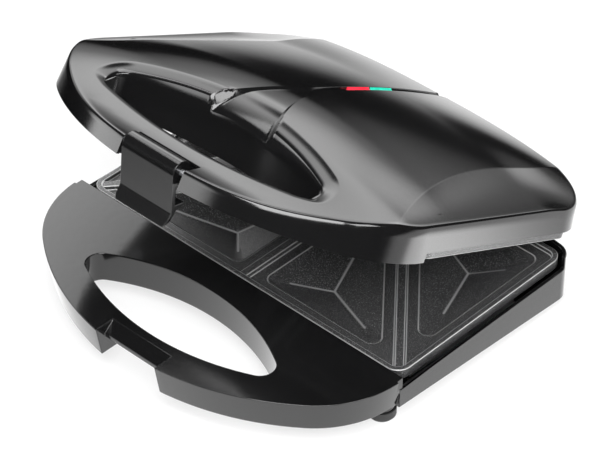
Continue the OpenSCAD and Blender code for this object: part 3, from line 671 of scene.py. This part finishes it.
def sweep(skin, rings):
    """Extrudes a closed ring of edges through rings of points, and returns the last points."""
    verts = [skin.verts.new(point) for point in rings[0]]
    edges = [skin.edges.new(pair) for pair in zip(verts, verts[1:] + verts[:1])]
    for before, after in zip(rings, rings[1:]):
        order = {tuple(p): k for k, p in enumerate(before)}
        made = bmesh.ops.extrude_edge_only(skin, edges=edges)["geom"]
        fresh = sorted((g for g in made if isinstance(g, bmesh.types.BMVert)),
                       key=lambda v: order[tuple(v.co)])
        for vert, point in zip(fresh, after):
            vert.co = point
        new = set(fresh)
        edges = [g for g in made if isinstance(g, bmesh.types.BMEdge)
                 and g.verts[0] in new and g.verts[1] in new]
    return fresh


def rim_heights():
    """How high the top is over each point of the outline, where the leaning skirt meets it."""
    heights = []
    for point, way in outline:
        z = RIM_SIDE
        for _ in range(4):
            edge = point - z * LID_LEAN * way
            z = lid_z(edge.x, edge.y)
        heights.append(z)
    return heights


def skirt_ring(heights, up):
    """A ring on the skirt, from its foot at up = 0 to the rim's radius at 1."""
    ring = []
    for (point, way), high in zip(outline, heights):
        z = mix(0, high - RIM_R, up)
        ring.append(point - z * LID_LEAN * way + Vector((0, 0, z)))
    return ring


def top_ring(heights, inset, fall):
    """A ring inset from the rim's outside and fall below the top."""
    ring = []
    for (point, way), high in zip(outline, heights):
        place = point - (high * LID_LEAN + inset) * way
        ring.append(Vector((place.x, place.y, lid_z(place.x, place.y) - fall)))
    return ring


def rim_rings():
    """Rings from the skirt's foot, up, round the rim and onto the top."""
    heights = rim_heights()
    rings = [skirt_ring(heights, up) for up in (0, 0.25, 0.5, 0.75, 1)]
    for turn in (22.5, 45, 67.5, 90):
        inset, fall = 1 - math.cos(math.radians(turn)), 1 - math.sin(math.radians(turn))
        rings.append(top_ring(heights, RIM_R * inset, RIM_R * fall))
    return rings + [top_ring(heights, RIM_INSET, 0)]


print("the rim is rounded on", RIM_R, "mm")

# %% [markdown]
# The lip's rings come up the hole's wall and out. The lip is a shallow band round the hole, wide at
# the back and narrow in front, and it fades out where the hollow rolls in.

# %% Rings of the lip
LIP_FALL, LIP_MARGIN = 0.3, 0.9


def lip_point(point, way, u):
    """Place on the lip, from u = 0 at its outer edge to u = 1 at the hole."""
    wide = mix(LIP_FRONT, LIP_BACK, smooth((way.y + 0.95) / 0.8))
    place = point + wide * (1 - u) * way
    fall = LIP_FALL * wide * (1 - in_hollow(place.x, place.y)) * max(0, u) ** 1.35
    return Vector((place.x, place.y, lid_z(place.x, place.y) - fall))


def lip_rings():
    """Rings from the foot of the hole's wall, up and out over the lip."""
    tops = [lip_point(point, way, 1) for point, way in hole]
    rings = [[Vector((p.x, p.y, mix(0, top.z - 0.7, up))) for (p, _), top in zip(hole, tops)]
             for up in (0, 0.3, 0.6, 0.85, 1)]
    for out, down in ((0.12, 0.3), (0.35, 0.08)):
        rings.append([Vector((top.x + out * way.x, top.y + out * way.y, top.z - down))
                      for (_, way), top in zip(hole, tops)])
    for u in (0.88, 0.76, 0.62, 0.48, 0.34, 0.2, 0.08, 0):
        rings.append([lip_point(point, way, u) for point, way in hole])
    rings.append([lip_point(point, way, -LIP_MARGIN / LIP_BACK) for point, way in hole])
    return rings


print("the lip is", LIP_FRONT, "to", LIP_BACK, "mm wide")

# %% [markdown]
# Between the grid and the rings lies a gap of uneven width. A triangulation that keeps every given
# edge fills it, and the triangles outside the gap are left out.

# %% Joining grid and rings


def inside(loop, x, y):
    """Whether a place lies inside a closed loop of vertices."""
    odd = False
    for a, b in zip(loop, loop[1:] + loop[:1]):
        if (a.co.y > y) != (b.co.y > y):
            odd ^= x < a.co.x + (y - a.co.y) * (b.co.x - a.co.x) / (b.co.y - a.co.y)
    return odd


def join_rings(skin, grid, rim, lip):
    """Fills the gaps between the grid and the two rings with triangles, seen from above."""
    verts = grid + rim + lip
    index = {v: k for k, v in enumerate(verts)}
    edges = [(index[a], index[b]) for a, b in (e.verts for e in skin.edges)
             if a in index and b in index]
    places = [Vector((v.co.x, v.co.y)) for v in verts]
    _, _, triangles, origin, _, _ = delaunay_2d_cdt(places, edges, [], 0, 1e-6)
    for triangle in triangles:
        a, b, c = (verts[origin[k][0]] for k in triangle)
        if any(b in f.verts and c in f.verts for f in a.link_faces):
            continue
        x, y = (a.co.x + b.co.x + c.co.x) / 3, (a.co.y + b.co.y + c.co.y) / 3
        if {a, b, c} <= set(lip) or ({a, b, c} <= set(rim) and not inside(rim, x, y)):
            continue
        skin.faces.new((a, b, c))


def lid_skin():
    """The lid's whole outside, with its faces turned outwards."""
    skin = bmesh.new()
    grid = crown_grid(skin)
    join_rings(skin, grid, sweep(skin, rim_rings()), sweep(skin, lip_rings()))
    bmesh.ops.recalc_face_normals(skin, faces=skin.faces)
    if sum(face.normal.z for face in skin.faces) < 0:
        bmesh.ops.reverse_faces(skin, faces=skin.faces)
    return skin


skin = lid_skin()
print("the lid's skin has", len(skin.faces), "faces")

# %% [markdown]
# A finished piece is taken to its place, its shading is made smooth except where two faces meet at
# a clear angle, and it is handed to the frame: it rides on a body and stands for a node.

# %% Handing over a piece
SHARP_ANGLE = 32
SORT_WAY = Vector((1.0, 0.6131, 0.3177))


def settle(shape):
    """Sorts a mesh by place, so that it comes out the same in each run."""
    shape.verts.sort(key=lambda vert: vert.co.dot(SORT_WAY))
    shape.edges.sort(key=lambda edge: (edge.verts[0].co + edge.verts[1].co).dot(SORT_WAY))
    shape.faces.sort(key=lambda face: face.calc_center_median().dot(SORT_WAY))


def hand_over(shape, name, place, body, slot, *nodes, angle=SHARP_ANGLE):
    bmesh.ops.transform(shape, matrix=place, verts=shape.verts)
    mesh = bpy.data.meshes.new(name)
    shape.to_mesh(mesh)
    shape.free()
    mesh.shade_smooth()
    mesh.set_sharp_from_angle(angle=math.radians(angle))
    mesh.materials.append(FINISHES[slot])
    piece = bpy.data.objects.new(name, mesh)
    bpy.context.scene.collection.objects.link(piece)
    if body:
        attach(piece, body)
    if nodes:
        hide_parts(*nodes)
    return piece


def bake(piece):
    """Applies a piece's modifiers to its mesh."""
    graph = bpy.context.evaluated_depsgraph_get()
    baked = bpy.data.meshes.new_from_object(piece.evaluated_get(graph))
    piece.modifiers.clear()
    piece.data = baked
    baked.shade_smooth()
    baked.set_sharp_from_angle(angle=math.radians(SHARP_ANGLE))


def box(shape, low, high):
    """Adds a box between two corners."""
    middle = (Vector(low) + Vector(high)) / 2
    size = Vector(high) - Vector(low)
    bmesh.ops.create_cube(shape, size=1, matrix=Matrix.Translation(middle)
                          @ Matrix.Diagonal((*size, 1)))


def rod(shape, centre, axis, radius, length, segments=48):
    """Adds a cylinder about the X or the Z axis."""
    turn = Matrix.Rotation(math.pi / 2, 4, "Y") if axis == "X" else Matrix.Identity(4)
    bmesh.ops.create_cone(shape, cap_ends=True, segments=segments, radius1=radius,
                          radius2=radius, depth=length,
                          matrix=Matrix.Translation(centre) @ turn)


print("pieces can be handed over")

# %% [markdown]
# The skin becomes a moulding: the skirt is shortened along the sides, a Solidify modifier gives the
# wall its thickness inwards, and one cutter opens the bay for the latch, the room for the hinge's
# ears and the seats of the two lenses.

# %% Lid moulding
WALL = 2.0
SIDE_LIFT, STEP_Y = 4.5, 6
NOTCH_X, BAY_BACK = 20.5, -71.5
HINGE_X, KNUCKLE_R, KNUCKLE_W, EAR_T, EAR_GAP = 70, 7, 14, 6, 0.4
LENS_STARTS, LENS_SEAT_LEN, LENS_SEAT_HALF = (58, 78.2), 19.1, 1.9
ABOVE = 60


def shorten_skirt(skin):
    """Cuts the skirt's foot off along the sides and the back."""
    for middle, way in (((0, 0, SIDE_LIFT), (0, 0, 1)), ((0, -STEP_Y, 0), (0, 1, 0))):
        low = [f for f in skin.faces if min(v.co.z for v in f.verts) < SIDE_LIFT]
        parts = list(dict.fromkeys(g for f in low for g in (f, *f.edges, *f.verts)))
        bmesh.ops.bisect_plane(skin, geom=parts, plane_co=middle, plane_no=way, dist=1e-5)
    lost = [f for f in skin.faces if f.calc_center_median().z < SIDE_LIFT
            and f.calc_center_median().y > -STEP_Y]
    bmesh.ops.delete(skin, geom=lost, context="FACES")


def lid_cutter():
    """What is cut out of the lid: the latch's bay, the ears' room and the lenses' seats."""
    cutter = bmesh.new()
    box(cutter, (-NOTCH_X, -LID_REACH - 4, -5), (NOTCH_X, BAY_BACK, ABOVE))
    for side in (-1, 1):
        for ear in (-1, 1):
            middle = side * HINGE_X + ear * (KNUCKLE_W + EAR_T + 2 * EAR_GAP) / 2
            rod(cutter, (middle, hinge_y, -CLOSE_GAP), "X", KNUCKLE_R + EAR_GAP,
                EAR_T + 2 * EAR_GAP)
    for start in LENS_STARTS:
        box(cutter, (-LENS_SEAT_HALF, start - 0.1, 5),
            (LENS_SEAT_HALF, start + LENS_SEAT_LEN, ABOVE))
    return cutter


shorten_skirt(skin)
settle(skin)
lid_shell = hand_over(skin, "lid_shell", LID_PLACE, "lid", "housing_black", "upper_housing")
cutter = hand_over(lid_cutter(), "cutter", LID_PLACE, None, "housing_black")
wall = lid_shell.modifiers.new("wall", "SOLIDIFY")
wall.thickness, wall.offset = WALL * MM, -1
opening = lid_shell.modifiers.new("opening", "BOOLEAN")
opening.operation, opening.solver, opening.object = "DIFFERENCE", "MANIFOLD", cutter
bake(lid_shell)
bpy.data.objects.remove(cutter)
print("the lid's shell has", len(lid_shell.data.polygons), "faces")

# %% [markdown]
# Inside the lid are ribs and walls. Each is a thin strip whose upper edge follows the skin from
# below.

# %% Ribs and walls
WALL_T, RIB_STEPS = 2.2, 40
BELOW_SKIN = 1.2


def strip(shape, low, high, thickness):
    """Adds a thin wall between two rows of points."""
    verts = [shape.verts.new(p) for p in low]
    edges = [shape.edges.new(pair) for pair in zip(verts, verts[1:])]
    places = {tuple(Vector(p)): q for p, q in zip(low, high)}
    made = bmesh.ops.extrude_edge_only(shape, edges=edges)["geom"]
    for vert in (g for g in made if isinstance(g, bmesh.types.BMVert)):
        vert.co = places[tuple(vert.co)]
    faces = [g for g in made if isinstance(g, bmesh.types.BMFace)]
    grown = bmesh.ops.extrude_face_region(shape, geom=faces, use_keep_orig=True)["geom"]
    bmesh.ops.translate(shape, vec=thickness,
                        verts=[g for g in grown if isinstance(g, bmesh.types.BMVert)])


def front_of_lid(x):
    """Where the skirt's foot lies, at a distance from the middle."""
    return min(p.y for p, _ in outline if abs(abs(p.x) - abs(x)) < 1.2)


def fore_rib(shape, x, back, foot, thickness):
    """A rib that runs from the skirt back, over the hole's wall where it meets that."""
    start = front_of_lid(abs(x) + thickness) + 1.4
    low, high = [], []
    for k in range(RIB_STEPS + 1):
        t = k / RIB_STEPS
        y = mix(start, back, t)
        z = lid_z(x, mix(start + 3, back, t)) - BELOW_SKIN
        if beyond_hole(x, y) < LIP_BACK:
            z -= LIP_FALL * LIP_BACK * share(1 - beyond_hole(x, y) / LIP_BACK)
        shift = z * LID_LEAN * (1 - t)
        low.append(Vector((x, y + foot * LID_LEAN * (1 - t), foot)))
        high.append(Vector((x, y + shift, max(foot + 0.5, z))))
    strip(shape, low, high, (thickness, 0, 0))


def cross_wall(shape, half, y):
    """A wall across the lid, from the foot of the skirt up to the skin."""
    xs = [mix(-half, half, k / 60) for k in range(61)]
    strip(shape, [Vector((x, y, 0)) for x in xs],
          [Vector((x, y, lid_z(x, y) - BELOW_SKIN)) for x in xs], (0, WALL_T, 0))


print("the ribs end", BELOW_SKIN, "mm under the lid's top")

# %% [markdown]
# Put together they are what the mould leaves inside the lid: ribs under the handle, a wall in front
# of the plate, and the lugs and back of the latch's bay. The bosses for the plate's screws and the
# two knuckles of the hinge, each on a short arm, belong to the same piece.

# %% Inside of the lid
RIB_T, RIB_FOOT, RIB_PLACES = 1.6, 3, (-92, -70, 70, 92)
FORE_WALL_Y, LUG = -4, 4
ARM_FRONT, ARM_BACK = (144, 0.4), (149, 7.4)
BOSS_R, BOSS_FOOT = 5, 4.1
SCREWS = ((0, 118), (101, 9), (-101, 9))


def lid_inside():
    """Ribs, walls, lugs, screw bosses and hinge knuckles inside the lid."""
    shape = bmesh.new()
    for x in RIB_PLACES:
        fore_rib(shape, x - RIB_T / 2, FORE_WALL_Y + 1, RIB_FOOT, RIB_T)
    for side in (-1, 1):
        fore_rib(shape, side * (NOTCH_X + LUG / 2) - LUG / 2, BAY_BACK + 2, 0, LUG)
        rod(shape, (side * HINGE_X, hinge_y, -CLOSE_GAP), "X", KNUCKLE_R - 0.3, KNUCKLE_W)
        box(shape, (side * HINGE_X - KNUCKLE_W / 2, *ARM_FRONT),
            (side * HINGE_X + KNUCKLE_W / 2, *ARM_BACK))
    cross_wall(shape, SIDE - 2.5, FORE_WALL_Y)
    cross_wall(shape, NOTCH_X + LUG, BAY_BACK)
    for x, y in SCREWS:
        top = lid_z(x, y) - 1.5
        rod(shape, (x, y, (BOSS_FOOT + top) / 2), "Z", BOSS_R, top - BOSS_FOOT, segments=32)
    bmesh.ops.recalc_face_normals(shape, faces=shape.faces)
    settle(shape)
    return shape


lid_frame = hand_over(lid_inside(), "lid_ribs", LID_PLACE, "lid", "housing_black")
print("the lid's inside has", len(lid_frame.data.polygons), "faces")

# %% [markdown]
# Pieces whose CAD shape is right get one thing more: a real edge. A copy of the node is merged, its
# flat areas are joined, and every sharp edge gets a small radius, which catches the light as a
# moulded or cast edge does.

# %% Rounded copies
WELD, FLAT_ANGLE, SMOOTH_ANGLE = 2e-6, 0.6, 60
ROUNDED = (("lower_housing", "base_shell", 0.5, 28), ("latch", "latch_lever", 0.35, 28),
           ("lower_plate", "lower_cooking_plate", 0.4, 14),
           ("upper_plate", "upper_cooking_plate", 0.4, 14))


def rounded_copy(node, name, width, angle):
    """A copy of a CAD node whose edges sharper than angle get a radius of about width mm."""
    cad = frame["nodes"][node]
    shape = bmesh.new()
    shape.from_mesh(cad.data)
    # An attribute marks the bevel's faces; the non-stick coating paints a highlight line on them.
    edge = shape.faces.layers.float.new("edge")
    bmesh.ops.remove_doubles(shape, verts=shape.verts, dist=WELD)
    bmesh.ops.dissolve_limit(shape, angle_limit=math.radians(FLAT_ANGLE), verts=shape.verts,
                             edges=shape.edges)
    sharp = [e for e in shape.edges if len(e.link_faces) == 2
             and e.calc_face_angle(0) > math.radians(angle)
             and e.calc_length() > width * MM * 0.5]
    made = bmesh.ops.bevel(shape, geom=sharp, affect="EDGES", offset=width * MM,
                           offset_type="OFFSET", segments=2, profile=0.5,
                           clamp_overlap=False, material=-1)
    for face in made["faces"]:
        face[edge] = 1.0
    piece = hand_over(shape, name, Matrix.Identity(4), cad["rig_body"], SLOTS[node], node,
                      angle=SMOOTH_ANGLE)
    flat = piece.modifiers.new("flat faces stay flat", "WEIGHTED_NORMAL")
    flat.keep_sharp, flat.weight = True, 100
    return piece


for node, name, width, angle in ROUNDED:
    made = rounded_copy(node, name, width, angle)
    print(name, "has", len(made.data.polygons), "faces")

# %% [markdown]
# The floor is a plain pale sheet. Seen by the camera it is nearly white, and it keeps the soft
# shadow, which tells the eye that the feet touch it. To glossy rays it glows with painted light, so
# gloss mirrors it bright beside the front right corner, and darker further off.

# %% Floor
GLOW_SPOT = (0.29, 0.06, 0)


def lay_floor():
    grid = bmesh.new()
    bmesh.ops.create_grid(grid, x_segments=1, y_segments=1, size=8)
    mesh = bpy.data.meshes.new("floor")
    grid.to_mesh(mesh)
    grid.free()
    floor = bpy.data.objects.new("floor", mesh)
    bpy.context.scene.collection.objects.link(floor)
    finish = Finish("floor_white")
    finish.set(Base_Color=(0.82, 0.82, 0.82), Roughness=0.9)
    path = {name: finish.node("ShaderNodeLightPath", output=name)
            for name in ("Is Camera Ray", "Is Glossy Ray")}
    spot = finish.measure("DISTANCE", finish.place(), GLOW_SPOT)
    # Painted glow seen only by glossy rays: strong near the spot, fading further off.
    near = (1 - finish.rise(spot, 0.07, 0.16)) * 4.5 + (1 - finish.rise(spot, 0.3, 0.8)) * 1.8
    white = finish.node("ShaderNodeEmission", {}, {"Color": (1, 1, 1), "Strength": 1.0})
    mirrored = finish.node("ShaderNodeEmission", {}, {"Color": (1, 1, 1), "Strength": near})
    lit = Value(finish, finish.shader.outputs[0])
    seen = finish.mix_shaders(path["Is Camera Ray"] * 0.72, lit, white)
    seen = finish.mix_shaders(path["Is Glossy Ray"], seen, mirrored)
    finish.put(finish.output.inputs[0], seen)
    mesh.materials.append(finish.material)


lay_floor()
print("the floor is laid")

# %% [markdown]
# Black gloss is read from what it mirrors. So the surround is white to the camera and dim to matt
# surfaces, and to gloss it is a dark room with soft lights in it: a broad panel behind and to the
# left, with a dark flag in it, and a few round lights. Each is a direction, by bearing clockwise
# from the back and by elevation, with the angles where it starts and stops fading.

# %% Surround
AMBIENT, DARK_ROOM = 0.5, 0.03
ROUND_LIGHTS = ((-8, 18, 3, 15, 2.4), (-121, 8, 8, 17, 5.2), (-161, 25, 7, 15, 4.8),
                (-78, 14, 6, 18, 1.6))


def bearing_way(bearing, elevation):
    """Unit vector at a bearing clockwise from the back and an elevation, in degrees."""
    bearing, elevation = math.radians(bearing), math.radians(elevation)
    return Vector((math.sin(bearing) * math.cos(elevation),
                   math.cos(bearing) * math.cos(elevation), math.sin(elevation)))


class Sky(Nodes):
    """The surround as expressions of the direction that is looked in."""

    def way(self):
        return self.node("ShaderNodeTexCoord", output=0)

    def lobe(self, bearing, elevation, full, none):
        """1 within full degrees of a direction, easing to 0 at none degrees."""
        near = self.measure("DOT_PRODUCT", self.way(), bearing_way(bearing, elevation))
        return self.rise(near, math.cos(math.radians(none)), math.cos(math.radians(full)))

    def height(self, low, high):
        """Eases from 0 at one elevation to 1 at another."""
        return self.rise(self.axes(self.way())[2], math.sin(math.radians(low)),
                         math.sin(math.radians(high)))

    def mirrored(self):
        """How bright gloss mirrors each direction."""
        panel = self.height(-4, 14) * 0.9 + self.height(10, 26) * 3.5
        level = DARK_ROOM + panel * self.lobe(-36, 25, 26, 44) * (1 - self.lobe(-39, 44, 4, 10))
        for bearing, elevation, full, none, strength in ROUND_LIGHTS:
            level = level + self.lobe(bearing, elevation, full, none) * strength
        return level


def light_world():
    world = bpy.data.worlds.new("surround")
    bpy.context.scene.world = world
    sky = Sky(world)
    path = {name: sky.node("ShaderNodeLightPath", output=name)
            for name in ("Is Camera Ray", "Is Transmission Ray", "Is Glossy Ray")}
    white, dim, glossy = (
        sky.node("ShaderNodeBackground", {}, {"Color": (1, 1, 1), "Strength": strength})
        for strength in (1.0, AMBIENT, sky.mirrored()))
    seen = sky.mix_shaders(path["Is Glossy Ray"], dim, glossy)
    clear = path["Is Camera Ray"].math("MAXIMUM", path["Is Transmission Ray"])
    seen = sky.mix_shaders(clear, seen, white)
    output = sky.tree.nodes.new("ShaderNodeOutputWorld")
    sky.put(output.inputs[0], seen)


light_world()
print("the surround has", len(ROUND_LIGHTS), "round lights")

# %% [markdown]
# Three square soft panels light the matt surfaces, one over the left, one in front and one on the
# right. They are given by place, aim, size in metres and power in watts.

# %% Soft panels
PANELS = (("key_panel", (-0.5, 0.3, 1.7), (0, 0, 0.05), 0.8, 12),
          ("front_panel", (0.55, -0.75, 1.25), (0, 0, 0.03), 0.9, 34),
          ("right_panel", (1.15, -0.2, 1.0), (0, 0.02, 0.02), 0.6, 12))


def soft_panel(name, place, aim, size, power):
    data = bpy.data.lights.new(name, "AREA")
    data.shape = "SQUARE"
    data.size = size
    data.energy = power
    lamp = bpy.data.objects.new(name, data)
    bpy.context.scene.collection.objects.link(lamp)
    lamp.location = place
    lamp.rotation_euler = (Vector(aim) - Vector(place)).to_track_quat("-Z", "Y").to_euler()


for panel in PANELS:
    soft_panel(*panel)
print(len(PANELS), "soft panels are lit")

# %% [markdown]
# Last, the render's colours go through the Standard view transform.

# %% Finish
bpy.context.scene.view_settings.view_transform = "Standard"
